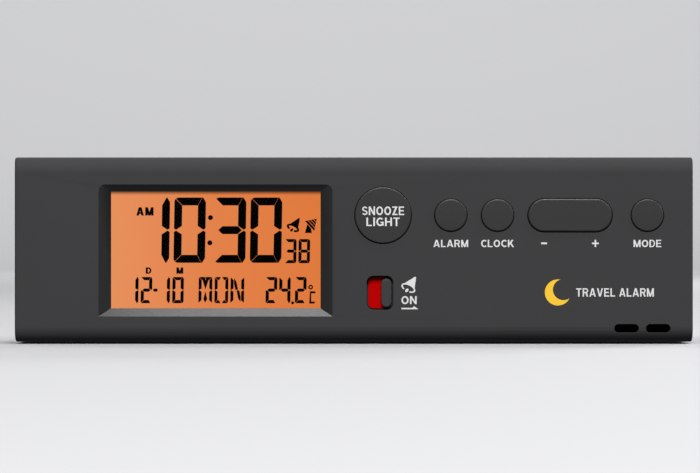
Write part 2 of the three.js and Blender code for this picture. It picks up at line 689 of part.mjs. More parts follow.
// Wires
const batteryWire = (z, landing) =>
  wire(route([[-1.5, 15.15, z], [0.6, 14.6, z], [landing, 12.6, z], [landing, 10.5, z]]), 0.45, 14, 3);
const piezoWire = () => wire(route([[49.5, 5.6, 11], [49.8, 6.6, 12], [49.5, 8.2, 12.4]]), 0.35, 8, 3);
const aerialWire = () =>
  wire(route([[25, 14.9, 25], [26, 14, 22.5], [25, 12.2, 19], [24.5, 10.4, 18.6]]), 0.3, 12, 3);

// Assembly
const clock = new THREE.Group();

function place(name, geometry, look) {
  const mesh = new THREE.Mesh(geometry, LOOKS[look]());
  mesh.name = name;
  clock.add(mesh);
}

place("front_case", frontCase(), "shell");
place("rear_case", rearCase(), "shell");
place("battery_door", batteryDoor(), "shell");
for (const [end, depth] of Object.entries(FEET.depths)) {
  place(`${end}_left_foot`, foot(-1, depth), "rubber");
  place(`${end}_right_foot`, foot(1, depth), "rubber");
}
place("window_lens", windowLens(), "clear");
place("lcd_front_polarizer", lcdFrontPolarizer(), "amber");
place("lcd_front_glass", lcdFrontGlass(), "clear");
place("lcd_rear_glass", lcdRearGlass(), "clear");
place("lcd_rear_polarizer", lcdRearPolarizer(), "amber");
place("zebra_strip", zebraStrip(), "silicone");
place("light_guide", lightGuide(), "clear");
place("reflector_film", reflectorFilm(), "white");
place("backlight_led", backlightLed(), "white");
place("lcd_holder", lcdHolder(), "white");
for (const [name, key] of Object.entries(KEYS)) {
  place(`${name}_key`, roundKey(key), "key");
  place(`${name}_carbon_pill`, carbonPill(key.x, KEY_TRAVEL), "carbon");
}
place("minus_plus_key", rockerKey(), "key");
place("minus_carbon_pill", carbonPill(ROCKER.x - ROCKER.pillOffset, ROCKER.travel + 0.1), "carbon");
place("plus_carbon_pill", carbonPill(ROCKER.x + ROCKER.pillOffset, ROCKER.travel + 0.1), "carbon");
place("rubber_keypad", rubberKeypad(), "silicone");
place("alarm_knob", alarmKnob(), "knob");
place("alarm_indicator_plate", alarmIndicatorPlate(), "red");
place("slide_switch_body", slideSwitchBody(), "steel");
place("slide_switch_lever", slideSwitchLever(), "black");
place("main_board", mainBoard(), "board");
place("processor_blob", processorBlob(), "black");
place("quartz_crystal", quartzCrystal(), "steel");
place("receiver_chip", receiverChip(), "black");
place("thermometer_bead", thermometerBead(), "black");
place("piezo_disc", piezoDisc(), "brass");
place("piezo_ceramic", piezoCeramic(), "ceramic");
place("ferrite_rod", aerialBar(AERIAL.x, AERIAL.r), "ferrite");
place("aerial_coil", aerialCoil(), "copper");
const [lowCell, highCell] = cellHeights();
place("lower_cell", cell(-1, lowCell), "jacket");
place("upper_cell", cell(1, highCell), "jacket");
place("battery_link_plate", linkPlate(), "steel");
place("battery_link_spring", cellSpring(1, highCell), "steel");
place("battery_negative_contact", endContact(lowCell), "steel");
place("battery_negative_spring", cellSpring(-1, lowCell), "steel");
place("battery_positive_contact", endContact(highCell), "steel");
CASE_SCREWS.forEach((at, index) => place(`case_screw_${index + 1}`, caseScrew(at), "steel"));
BOARD_POSTS.forEach((at, index) => place(`board_screw_${index + 1}`, boardScrew(at), "steel"));
place("battery_wire_black", batteryWire(lowCell, 2), "blackWire");
place("battery_wire_red", batteryWire(highCell, 2), "redWire");
place("piezo_wire", piezoWire(), "redWire");
place("aerial_wire", aerialWire(), "copper");

export default clock;
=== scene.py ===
"""A digital travel alarm clock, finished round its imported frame.

The frame's own solids stay, and get smooth shading and better materials. Only the silicone key pad is
replaced, by a sheet and domes that can flatten. The display's picture, the printed labels and the studio are
made here too. Objects are in metres, +Z up. Flat outlines are in millimetres, as (x, z) pairs seen from the
front, and MM turns them into metres.
"""

import json
import math

import bmesh
import bpy
from mathutils import Matrix, Vector
from mathutils.geometry import delaunay_2d_cdt


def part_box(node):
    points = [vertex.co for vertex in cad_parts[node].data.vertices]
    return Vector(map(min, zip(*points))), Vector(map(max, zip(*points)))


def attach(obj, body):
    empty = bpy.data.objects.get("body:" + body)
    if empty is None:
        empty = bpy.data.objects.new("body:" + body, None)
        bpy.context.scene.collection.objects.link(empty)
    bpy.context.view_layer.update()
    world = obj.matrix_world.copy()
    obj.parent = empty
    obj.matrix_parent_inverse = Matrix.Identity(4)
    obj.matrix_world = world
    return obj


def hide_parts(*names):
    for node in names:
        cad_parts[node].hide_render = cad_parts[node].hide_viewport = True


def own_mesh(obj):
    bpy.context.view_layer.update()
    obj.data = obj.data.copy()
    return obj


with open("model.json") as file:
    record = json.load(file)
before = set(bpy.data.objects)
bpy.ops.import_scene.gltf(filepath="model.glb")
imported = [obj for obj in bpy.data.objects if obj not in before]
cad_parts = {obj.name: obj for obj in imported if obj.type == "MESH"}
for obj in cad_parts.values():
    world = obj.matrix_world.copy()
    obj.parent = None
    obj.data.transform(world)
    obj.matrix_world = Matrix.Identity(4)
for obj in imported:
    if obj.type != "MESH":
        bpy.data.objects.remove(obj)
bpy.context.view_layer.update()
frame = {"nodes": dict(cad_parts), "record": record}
nodes = frame["nodes"]

MM = 0.001
CASE = "clock_case"

# Places read from the frame. The window's own edges lie inside the lens, by the lip that is behind its frame.
FACE_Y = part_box("front_case")[0].y
KEY_FACE_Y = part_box("snooze_key")[0].y
LENS_LIP = Vector((1.42, 0, 1.45)) * MM
WINDOW_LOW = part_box("window_lens")[0] + LENS_LIP
WINDOW_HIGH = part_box("window_lens")[1] - LENS_LIP


def middle(node):
    """The centre of a node's box."""
    low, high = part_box(node)
    return (low + high) / 2


# ---------------------------------------------------------------------------------------------
# Node materials
# ---------------------------------------------------------------------------------------------


def new_material(name):
    """A node material with its Principled shader and its links."""
    material = bpy.data.materials.new(name)
    material.use_nodes = True
    tree = material.node_tree
    tree.nodes.clear()
    output = tree.nodes.new("ShaderNodeOutputMaterial")
    shader = tree.nodes.new("ShaderNodeBsdfPrincipled")
    tree.links.new(shader.outputs["BSDF"], output.inputs["Surface"])
    return material, tree, shader


def object_place(tree, **changes):
    """The object's own coordinates, put through a mapping if the call names changes to make."""
    place = tree.nodes.new("ShaderNodeTexCoord").outputs["Object"]
    if not changes:
        return place
    mapping = tree.nodes.new("ShaderNodeMapping")
    for name, value in changes.items():
        mapping.inputs[name].default_value = value
    tree.links.new(place, mapping.inputs["Vector"])
    return mapping.outputs["Vector"]


def object_noise(tree, size, detail=2.0, roughness=0.5, **changes):
    """Noise from 0 to 1 whose grains are about size metres across, fixed to the object."""
    noise = tree.nodes.new("ShaderNodeTexNoise")
    noise.inputs["Scale"].default_value = 1 / size
    noise.inputs["Detail"].default_value = detail
    noise.inputs["Roughness"].default_value = roughness
    tree.links.new(object_place(tree, **changes), noise.inputs["Vector"])
    return noise.outputs["Fac"]


def ranged(tree, value, start, end, first=0.0, last=1.0, smooth_step=False):
    """Maps a value from one range to another."""
    remap = tree.nodes.new("ShaderNodeMapRange")
    remap.interpolation_type = "SMOOTHSTEP" if smooth_step else "LINEAR"
    remap.inputs["From Min"].default_value = start
    remap.inputs["From Max"].default_value = end
    remap.inputs["To Min"].default_value = first
    remap.inputs["To Max"].default_value = last
    tree.links.new(value, remap.inputs["Value"])
    return remap.outputs["Result"]


def spread(tree, value, low, high):
    """Maps the middle of a noise value to a range."""
    return ranged(tree, value, 0.3, 0.7, low, high)


def tinted(tree, factor, colour, change):
    """A colour that varies by the given share, up and down, with a factor from 0 to 1."""
    ramp = tree.nodes.new("ShaderNodeValToRGB")
    for stop, share in zip(ramp.color_ramp.elements, (1 - change, 1 + change)):
        stop.color = (*(min(1.0, channel * share) for channel in colour), 1)
    tree.links.new(factor, ramp.inputs["Fac"])
    return ramp.outputs["Color"]


def add_bump(tree, shader, height, distance, rounded_edge=0.0):
    """Raises the surface by distance metres where height is 1, and softens the solid's sharp edges."""
    bump = tree.nodes.new("ShaderNodeBump")
    bump.inputs["Distance"].default_value = distance
    tree.links.new(height, bump.inputs["Height"])
    tree.links.new(bump.outputs["Normal"], shader.inputs["Normal"])
    if rounded_edge:
        edge = tree.nodes.new("ShaderNodeBevel")
        edge.samples = 6
        edge.inputs["Radius"].default_value = rounded_edge
        tree.links.new(edge.outputs["Normal"], bump.inputs["Normal"])


def moulded(name, colour, roughness, shine=0.5, relief=0.004 * MM, rounded_edge=0.0):
    """Moulded plastic or rubber: a fine spark-eroded grain with its gloss, and a slow drift of tone."""
    material, tree, shader = new_material(name)
    shader.inputs["Specular IOR Level"].default_value = shine
    drift = object_noise(tree, 18 * MM)
    fine = object_noise(tree, 0.12 * MM, roughness=0.6)
    tree.links.new(tinted(tree, drift, colour, 0.05), shader.inputs["Base Color"])
    gloss = spread(tree, fine, roughness - 0.04, roughness + 0.04)
    tree.links.new(gloss, shader.inputs["Roughness"])
    add_bump(tree, shader, fine, relief, rounded_edge)
    return material


def metal(name, colour, roughness, scratch=0.3 * MM):
    """Plated or bare metal with fine brushed scratches."""
    material, tree, shader = new_material(name)
    scratches = object_noise(tree, scratch, Scale=(0.08, 1, 1))
    tree.links.new(tinted(tree, scratches, colour, 0.06), shader.inputs["Base Color"])
    gloss = spread(tree, scratches, roughness - 0.08, roughness + 0.08)
    tree.links.new(gloss, shader.inputs["Roughness"])
    shader.inputs["Metallic"].default_value = 1.0
    add_bump(tree, shader, scratches, 0.002 * MM)
    return material


def clear_plastic(name, roughness, tint=(1, 1, 1), ior=1.49):
    """Clear moulded or cut sheet, with the faintest smears."""
    material, tree, shader = new_material(name)
    smear = object_noise(tree, 9 * MM)
    gloss = spread(tree, smear, roughness, roughness + 0.02)
    tree.links.new(gloss, shader.inputs["Roughness"])
    shader.inputs["Base Color"].default_value = (*tint, 1)
    shader.inputs["Transmission Weight"].default_value = 1.0
    shader.inputs["IOR"].default_value = ior
    return material


def printed_ink(name, colour, roughness=0.45, shine=0.3):
    """Pad-printed ink with a slightly uneven film."""
    material, tree, shader = new_material(name)
    shader.inputs["Specular IOR Level"].default_value = shine
    film = object_noise(tree, 0.5 * MM)
    tree.links.new(tinted(tree, film, colour, 0.03), shader.inputs["Base Color"])
    shader.inputs["Roughness"].default_value = roughness
    return material


def object_axes(tree):
    """The object's own coordinates, as the sockets "X", "Y" and "Z"."""
    split = tree.nodes.new("ShaderNodeSeparateXYZ")
    tree.links.new(object_place(tree), split.inputs["Vector"])
    return split.outputs


def back_lit_film():
    """The display's amber ground: palest at its left end, and shaded under the window's upper edge."""
    material, tree, shader = new_material("lcd_amber_glow")
    axes = object_axes(tree)
    along = ranged(tree, axes["X"], WINDOW_LOW.x, WINDOW_HIGH.x)
    ramp = tree.nodes.new("ShaderNodeValToRGB")
    stops = ramp.color_ramp.elements
    stops[0].color = (0.802, 0.276, 0.104, 1)
    stops[1].color = (0.736, 0.189, 0.040, 1)
    centre = stops.new(0.5)
    centre.color = (0.762, 0.214, 0.061, 1)
    tree.links.new(along, ramp.inputs["Fac"])
    shade_height = 0.75 * MM
    shade = ranged(tree, axes["Z"], WINDOW_HIGH.z - shade_height, WINDOW_HIGH.z, 1.0, 0.3, smooth_step=True)
    tree.links.new(ramp.outputs["Color"], shader.inputs["Emission Color"])
    tree.links.new(shade, shader.inputs["Emission Strength"])
    haze = object_noise(tree, 4 * MM)
    tree.links.new(tinted(tree, haze, (0.05, 0.018, 0.006), 0.1), shader.inputs["Base Color"])
    shader.inputs["Roughness"].default_value = 0.5
    return material


def circuit_board():
    """Green solder mask over a mesh of copper tracks."""
    material, tree, shader = new_material("green_solder_mask")
    brick = tree.nodes.new("ShaderNodeTexBrick")
    brick.inputs["Scale"].default_value = 1 / (6 * MM)
    brick.inputs["Mortar Size"].default_value = 0.04
    brick.inputs["Color1"].default_value = (0.012, 0.095, 0.035, 1)
    brick.inputs["Color2"].default_value = (0.016, 0.11, 0.042, 1)
    brick.inputs["Mortar"].default_value = (0.05, 0.22, 0.09, 1)
    tree.links.new(object_place(tree, Rotation=(math.pi / 2, 0, 0)), brick.inputs["Vector"])
    tree.links.new(brick.outputs["Color"], shader.inputs["Base Color"])
    add_bump(tree, shader, brick.outputs["Fac"], 0.03 * MM)
    shader.inputs["Roughness"].default_value = 0.35
    return material


def cell_jacket(node, cap_on_right):
    """A plain printed cell: dark blue, with a copper-coloured band and a bare steel cap at one end."""
    material, tree, shader = new_material(f"{node}_jacket")
    low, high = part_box(node)
    ends = (high.x, low.x) if cap_on_right else (low.x, high.x)
    along = ranged(tree, object_axes(tree)["X"], *ends)
    cap_end, band_end = 0.034, 0.27
    looks = {
        "Base Color": ((0.62, 0.61, 0.58), (0.50, 0.22, 0.08), (0.010, 0.022, 0.06)),
        "Metallic": ((1, 1, 1), (0.7, 0.7, 0.7), (0, 0, 0)),
    }
    for socket, values in looks.items():
        ramp = tree.nodes.new("ShaderNodeValToRGB")
        ramp.color_ramp.interpolation = "CONSTANT"
        ramp.color_ramp.elements[1].position = cap_end
        ramp.color_ramp.elements.new(band_end)
        for stop, value in zip(ramp.color_ramp.elements, values):
            stop.color = (*value, 1)
        tree.links.new(along, ramp.inputs["Fac"])
        tree.links.new(ramp.outputs["Color"], shader.inputs[socket])
    film = object_noise(tree, 3 * MM)
    tree.links.new(spread(tree, film, 0.24, 0.34), shader.inputs["Roughness"])
    return material


SHELL_GREY = (0.0395, 0.0395, 0.0408)

MATERIALS = {
    "shell": moulded("case_plastic", SHELL_GREY, 0.7, 0.12, rounded_edge=0.12 * MM),
    "key": moulded("key_plastic", (0.0255, 0.0255, 0.0258), 0.4, 0.4),
    "knob": moulded("knob_plastic", SHELL_GREY, 0.5, 0.15),
    "indicator_red": moulded("red_plate", (0.46, 0.0002, 0.0003), 0.5, 0.02),
    "foot_rubber": moulded("foot_rubber", (0.012, 0.012, 0.0125), 0.8, relief=0.01 * MM),
    "silicone": moulded("keypad_silicone", (0.58, 0.58, 0.56), 0.6),
    "carbon": moulded("carbon_pill", (0.008, 0.008, 0.008), 0.85),
    "lens": clear_plastic("coated_window_acrylic", 0.0, ior=1.15),
    "lcd_amber": back_lit_film(),
    "lcd_glass": clear_plastic("display_glass", 0.0, (0.95, 0.98, 0.97)),
    "light_guide": clear_plastic("light_guide_acrylic", 0.1, (0.98, 0.99, 1.0)),
    "holder_white": moulded("white_holder", (0.72, 0.72, 0.69), 0.5),
    "circuit_board": circuit_board(),
    "steel": metal("nickel_plate", (0.62, 0.61, 0.58), 0.28),
    "screw_steel": metal("screw_steel", (0.42, 0.42, 0.43), 0.35),
    "brass": metal("brass_sheet", (0.60, 0.40, 0.12), 0.3),
    "piezo_ceramic": moulded("piezo_ceramic", (0.66, 0.64, 0.57), 0.55),
    "ferrite": moulded("ferrite", (0.024, 0.024, 0.027), 0.6),
    "copper": metal("enamelled_copper", (0.55, 0.20, 0.08), 0.35, 0.15 * MM),
    "chip_black": moulded("black_resin", (0.008, 0.008, 0.008), 0.4),
    "wire_red": moulded("red_wire", (0.43, 0.009, 0.009), 0.35),
    "wire_black": moulded("black_wire", (0.008, 0.008, 0.008), 0.35),
    "print_white": printed_ink("white_ink", (0.68, 0.68, 0.68)),
    "print_amber": printed_ink("amber_ink", (0.88, 0.53, 0.03)),
    "lcd_segment": printed_ink("lcd_segment_black", (0.0008, 0.0007, 0.0006), 0.6, 0.0),
}
POLISHED = moulded("polished_window_frame", (0.018, 0.018, 0.0185), 0.18, relief=0.0)
NODE_MATERIALS = {
    "upper_cell": cell_jacket("upper_cell", cap_on_right=True),
    "lower_cell": cell_jacket("lower_cell", cap_on_right=False),
}

# ---------------------------------------------------------------------------------------------
# The frame's own nodes
# ---------------------------------------------------------------------------------------------


def modifier_group(name):
    """A geometry node group, with the node at its start and the node at its end."""
    group = bpy.data.node_groups.new(name, "GeometryNodeTree")
    for direction in ("INPUT", "OUTPUT"):
        group.interface.new_socket("Geometry", in_out=direction, socket_type="NodeSocketGeometry")
    return group, group.nodes.new("NodeGroupInput"), group.nodes.new("NodeGroupOutput")


def shallow_edge_smoother():
    """A modifier's node group that welds a solid's corners, and shades smoothly across its shallow edges."""
    group, source, result = modifier_group("smooth_shallow_edges")
    weld = group.nodes.new("GeometryNodeMergeByDistance")
    weld.inputs["Distance"].default_value = 0.002 * MM
    smooth = group.nodes.new("GeometryNodeSetShadeSmooth")
    sharpen = group.nodes.new("GeometryNodeSetShadeSmooth")
    sharpen.domain = "EDGE"
    sharpen.inputs["Shade Smooth"].default_value = False
    angle = group.nodes.new("GeometryNodeInputMeshEdgeAngle")
    steep = group.nodes.new("FunctionNodeCompare")
    steep.data_type = "FLOAT"
    steep.operation = "GREATER_THAN"
    steep.inputs["B"].default_value = math.radians(35)
    group.links.new(source.outputs[0], weld.inputs["Geometry"])
    group.links.new(weld.outputs[0], smooth.inputs["Geometry"])
    group.links.new(smooth.outputs[0], sharpen.inputs["Geometry"])
    group.links.new(angle.outputs["Unsigned Angle"], steep.inputs["A"])
    group.links.new(steep.outputs[0], sharpen.inputs["Selection"])
    group.links.new(sharpen.outputs[0], result.inputs[0])
    return group


def window_frame_polisher():
    """A modifier's node group that gives the second material to the sloping sides of the window."""
    group, source, result = modifier_group("polish_window_frame")
    position = group.nodes.new("GeometryNodeInputPosition")
    choose = group.nodes.new("GeometryNodeSetMaterialIndex")
    choose.inputs["Material Index"].default_value = 1
    within = group.nodes.new("FunctionNodeBooleanMath")
    # The sides lie in a box that reaches past the window, from just under the face to just short of the lens
    reach = Vector((2.4, 0, 1.7)) * MM
    shallowest, deepest = 0.03 * MM, 1.35 * MM
    low = Vector((WINDOW_LOW.x, FACE_Y + shallowest, WINDOW_LOW.z)) - reach
    high = Vector((WINDOW_HIGH.x, FACE_Y + deepest, WINDOW_HIGH.z)) + reach
    for side, (operation, corner) in enumerate((("GREATER_THAN", low), ("LESS_THAN", high))):
        compare = group.nodes.new("FunctionNodeCompare")
        compare.data_type = "VECTOR"
        compare.operation = operation
        vectors = [socket for socket in compare.inputs if socket.type == "VECTOR"]
        vectors[1].default_value = corner
        group.links.new(position.outputs[0], vectors[0])
        group.links.new(compare.outputs[0], within.inputs[side])
    group.links.new(source.outputs[0], choose.inputs["Geometry"])
    group.links.new(within.outputs[0], choose.inputs["Selection"])
    group.links.new(choose.outputs[0], result.inputs[0])
    return group


SMOOTHER = shallow_edge_smoother()
for part in frame["record"]["subparts"]:
    node = nodes[part["node"]]
    node.data.materials.clear()
    node.data.materials.append(NODE_MATERIALS.get(part["node"]) or MATERIALS[part["material_slot"]])
    node.modifiers.new("smooth", "NODES").node_group = SMOOTHER
    flatten = node.modifiers.new("wide_faces_stay_flat", "WEIGHTED_NORMAL")
    flatten.keep_sharp = True
    flatten.weight = 100
    if part["node"] == "window_lens" or part["node"].startswith("lcd_"):
        # The glow is for the viewer only, and doesn't tint the window's frame.
        node.visible_diffuse = False
        node.visible_glossy = False
nodes["front_case"].data.materials.append(POLISHED)
nodes["front_case"].modifiers.new("polish", "NODES").node_group = window_frame_polisher()

# ---------------------------------------------------------------------------------------------
# Flat outlines
# ---------------------------------------------------------------------------------------------


def arc(cx, cz, rx, rz, start, end, steps, tilt=0.0):
    """Points on an elliptical arc, in degrees anticlockwise, whose long axis may be tilted."""
    points = []
    for step in range(steps + 1):
        angle = math.radians(start + (end - start) * step / steps)
        across, up = rx * math.cos(angle), rz * math.sin(angle)
        lean, rise = math.cos(math.radians(tilt)), math.sin(math.radians(tilt))
        points.append((cx + across * lean - up * rise, cz + across * rise + up * lean))
    return points


def disc(cx, cz, radius):
    """A whole circle."""
    return arc(cx, cz, radius, radius, 0, 345, 23)


def block(x0, z0, x1, z1):
    """A rectangle between two corners."""
    return [(x0, z0), (x1, z0), (x1, z1), (x0, z1)]


def slant(x0, z0, x1, z1, width):
    """A leaning stroke with level ends, between the middles of its ends."""
    half = width / 2
    return [(x0 - half, z0), (x0 + half, z0), (x1 + half, z1), (x1 - half, z1)]


def bow(cx, cz, rx, rz, start, end, width, tilt=0.0):
    """A stroke along part of an ellipse."""
    half = width / 2
    steps = max(4, math.ceil(abs(end - start) / 12))
    outer = arc(cx, cz, rx + half, rz + half, start, end, steps, tilt)
    inner = arc(cx, cz, rx - half, rz - half, end, start, steps, tilt)
    return outer + inner


def ring(cx, cz, rx, rz, width):
    """A whole ellipse, as two strokes."""
    return [bow(cx, cz, rx, rz, 0, 180, width), bow(cx, cz, rx, rz, 180, 360, width)]


def placed(outlines, left, base, across=1.0, up=1.0):
    """Outlines scaled about their origin and moved to a place."""
    return [[(left + x * across, base + z * up) for x, z in outline] for outline in outlines]


def mirrored(outline, width=None, height=None):
    """An outline turned over inside a width, a height or both."""
    return [(x if width is None else width - x, z if height is None else height - z) for x, z in outline]


def capitals(weight):
    """Plain capital letters, 1 high, as strokes: upright strokes are as wide as the weight."""
    bar = 0.85 * weight
    half = weight / 2
    stem = block(0, 0, weight, 1)
    top = 1 - bar
    return {
        "A": [
            slant(half, 0, 0.39 - 0.1 * weight, 1, weight),
            slant(0.78 - half, 0, 0.39 + 0.1 * weight, 1, weight),
            block(0.2, 0.2, 0.58, 0.2 + bar),
        ],
        "C": [bow(0.395, 0.5, 0.395 - half, 0.5 - half, 46, 314, weight)],
        "D": [
            stem,
            block(0.1, top, 0.33, 1),
            block(0.1, 0, 0.33, bar),
            bow(0.33, 0.5, 0.36 - half, 0.5 - bar / 2, -90, 90, bar),
        ],
        "E": [
            stem,
            block(0.1, top, 0.61, 1),
            block(0.1, 0.5 - bar / 2, 0.57, 0.5 + bar / 2),
            block(0.1, 0, 0.63, bar),
        ],
        "G": [
            bow(0.395, 0.5, 0.395 - half, 0.5 - half, 42, 322, weight),
            block(0.42, 0.36, 0.76, 0.36 + bar),
            block(0.76 - 0.85 * weight, 0.06, 0.76, 0.45),
        ],
        "H": [stem, block(0.73 - weight, 0, 0.73, 1), block(0.1, 0.43, 0.63, 0.43 + bar)],
        "I": [stem],
        "K": [
            stem,
            slant(0.15, 0.33, 0.69 - 0.65 * weight, 1, 1.3 * weight),
            slant(0.74 - 0.6 * weight, 0, 0.31, 0.6, 1.2 * weight),
        ],
        "L": [stem, block(0.1, 0, 0.58, bar)],
        "M": [
            stem,
            block(0.86 - weight, 0, 0.86, 1),
            slant(0.43, 0, 0.6 * weight, 1, weight),
            slant(0.43, 0, 0.86 - 0.6 * weight, 1, weight),
        ],
        "N": [stem, block(0.73 - weight, 0, 0.73, 1), slant(0.73 - half, 0, half, 1, 1.05 * weight)],
        "O": ring(0.395, 0.5, 0.395 - half, 0.5 - half, weight),
        "R": [
            stem,
            block(0.1, top, 0.4, 1),
            block(0.1, 0.42, 0.42, 0.42 + bar),
            bow(0.4, 0.71, 0.29 - half, 0.29 - bar / 2, -90, 90, bar),
            slant(0.7 - 0.6 * weight, 0, 0.42, 0.47, 1.1 * weight),
        ],
        "S": [
            bow(0.335, 0.72, 0.32 - half, 0.28 - half, 20, 270, bar),
            bow(0.345, 0.28, 0.33 - half, 0.28 - half, -160, 90, bar),
        ],
        "T": [block(0, top, 0.66, 1), block(0.33 - half, 0, 0.33 + half, 1)],
        "V": [
            slant(0.37 - 0.1 * weight, 0, half, 1, weight),
            slant(0.37 + 0.1 * weight, 0, 0.74 - half, 1, weight),
        ],
        "Z": [block(0, top, 0.6, 1), block(0, 0, 0.62, bar), slant(0.12, 0.05, 0.49, 0.95, 1.2 * weight)],
    }


# Gaps between letters and between words, as shares of the height
LETTER_GAP = 0.14
WORD_GAP = 0.5


def lettering(words, left, right, base, height, weight=0.175):
    """The strokes of a line of capitals, fitted between two sides and standing on a base line."""
    glyphs = capitals(weight)
    strokes = []
    pen = 0.0
    for letter in words:
        if letter == " ":
            pen += WORD_GAP - LETTER_GAP
            continue
        strokes += placed(glyphs[letter], pen, 0)
        pen += max(x for outline in glyphs[letter] for x, _ in outline) + LETTER_GAP
    return placed(strokes, left, base, (right - left) / (pen - LETTER_GAP), height)


# How far a flat piece stands clear of its surface, so that the two never share a plane
LIFT = 0.004


def new_object(name, built, material):
    """An object in the scene, from a bmesh that is used up."""
    mesh = bpy.data.meshes.new(name)
    built.to_mesh(mesh)
    built.free()
    mesh.materials.append(material)
    obj = bpy.data.objects.new(name, mesh)
    bpy.context.scene.collection.objects.link(obj)
    return obj


def flat_piece(name, outlines, surface_y, slot, body=CASE, height=0.02, holes=()):
    """A thin flat solid over the area of some overlapping outlines less its holes, in front of a surface."""
    points, loops = [], []
    for outline in [*outlines, *holes]:
        pairs = zip(outline, outline[1:] + outline[:1])
        clockwise = sum(x0 * z1 - x1 * z0 for (x0, z0), (x1, z1) in pairs) < 0
        loops.append(list(range(len(points), len(points) + len(outline))))
        points += [Vector(point) for point in (reversed(outline) if clockwise else outline)]
    flat_points, _, triangles, _, _, coverings = delaunay_2d_cdt(points, [], loops, 1, 1e-4)
    built = bmesh.new()
    back_y = surface_y - LIFT * MM
    corners = [built.verts.new((point.x * MM, back_y, point.y * MM)) for point in flat_points]
    for triangle, covering in zip(triangles, coverings):
        if covering and max(covering) < len(outlines):
            built.faces.new([corners[index] for index in triangle])
    bmesh.ops.delete(built, geom=[corner for corner in corners if not corner.link_faces], context="VERTS")
    grown = bmesh.ops.extrude_face_region(built, geom=list(built.faces), use_keep_orig=True)
    moved = [part for part in grown["geom"] if isinstance(part, bmesh.types.BMVert)]
    bmesh.ops.translate(built, verts=moved, vec=(0, -height * MM, 0))
    bmesh.ops.recalc_face_normals(built, faces=built.faces)
    obj = new_object(name, built, MATERIALS[slot])
    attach(obj, body)
    return obj


# ---------------------------------------------------------------------------------------------
# The display's picture, in millimetres from the window's lower left corner
# ---------------------------------------------------------------------------------------------

# How far the figures lean to the right, as a share of their height
LEAN = 0.017
SEGMENTS_LIT = {
    "0": "abcdef",
    "1": "bc",
    "2": "abdeg",
    "3": "abcdg",
    "4": "bcfg",
    "8": "abcdefg",
}


def segments(width, height, stroke, corner, gap):
    """The seven segments of a digit: a is the top, b to f follow clockwise, and g is the middle bar.

    The mitres at the right corners are steeper than the ones at the left, so that a 1 has pointed ends.
    """
    mid = height / 2
    shift = gap / math.sqrt(2)
    tip = width - 0.46 * stroke
    turn = arc(corner, height - corner, corner, corner, 135, 90, 3)
    inner_left = (stroke + shift, height - stroke)
    inner_right = (width - stroke - shift, height - stroke)
    top = [(x + shift, z) for x, z in turn] + [(tip - shift, height), inner_right, inner_left]
    waist = [(stroke, mid + 0.53 * stroke), (0.27 * stroke, mid + 0.05 * stroke), (0, mid + 0.22 * stroke)]
    side = arc(corner, height - corner, corner, corner, 180, 135, 3)
    upper_left = [(x, z - shift) for x, z in side] + [(stroke, height - stroke - shift)] + waist
    upper_right = [(tip, height), (tip + 0.1 * stroke, height), (width, height - 0.6 * stroke)]
    upper_right += mirrored(waist, width)[::-1] + [(width - stroke, height - stroke)]
    half_bar = [(1.02 * stroke, mid + stroke / 2), (0.5 * stroke, mid), (1.02 * stroke, mid - stroke / 2)]
    return {
        "a": top,
        "b": upper_right,
        "c": mirrored(upper_right, None, height),
        "d": mirrored(top, None, height),
        "e": mirrored(upper_left, None, height),
        "f": upper_left,
        "g": half_bar + mirrored(half_bar, width)[::-1],
    }


def leaned(outlines, left, base):
    """Outlines moved to a place and leaned over like the display's digits."""
    return [[(left + x + LEAN * z, base + z) for x, z in outline] for outline in outlines]


def digit(figure, left, base, width, height, stroke, corner, gap):
    """One seven-segment figure."""
    shapes = segments(width, height, stroke, corner, gap)
    return leaned([shapes[name] for name in SEGMENTS_LIT[figure]], left, base)


LARGE = {"width": 6.07, "height": 12.56, "stroke": 1.52, "corner": 0.82, "gap": 0.055}
SMALL = {"width": 2.2, "height": 5.05, "stroke": 0.62, "corner": 0.3, "gap": 0.045}
SECONDS = {"width": 2.22, "height": 4.65, "stroke": 0.6, "corner": 0.3, "gap": 0.045}
LARGE_BASE, SMALL_BASE, SECONDS_BASE = 8.74, 0.96, 8.66


def weekday_letter(letter, left):
    """One letter of the day's name, from segments that are split at the middle of the cell."""
    width, height, stroke = 2.63, SMALL["height"], 0.58
    shapes = segments(width, height, stroke, SMALL["corner"], SMALL["gap"])
    centre = width / 2
    left_bar = shapes["a"][:4]
    sides = [shapes["e"], shapes["f"], mirrored(shapes["e"], width), mirrored(shapes["f"], width)]
    if letter == "M":
        half = left_bar + [(centre - 0.04, height), (centre - 0.04, height - stroke), shapes["a"][-1]]
        dagger = [(centre - 0.58, height - stroke), (centre, height - 2.4), (centre + 0.58, height - stroke)]
        spindle = [(centre, 0.1), (centre + 0.36, 0.8), (centre, 2.35), (centre - 0.36, 0.8)]
        return leaned([*sides, half, mirrored(half, width), dagger, spindle], left, SMALL_BASE)
    if letter == "O":
        half = left_bar + [(centre - 0.13, height), (centre - 0.44, height - stroke), shapes["a"][-1]]
        bars = [mirrored(half, across, up) for across in (None, width) for up in (None, height)]
        return leaned([*sides, *bars], left, SMALL_BASE)
    slope_end = height / 2 + 0.06
    slope = [(0.66, height - 0.25), (0.66, height - 1.3)]
    slope += [(0.94, slope_end), (1.46, slope_end), (1.12, height - 0.9)]
    return leaned([*sides, slope, mirrored(slope, width, height)], left, SMALL_BASE)


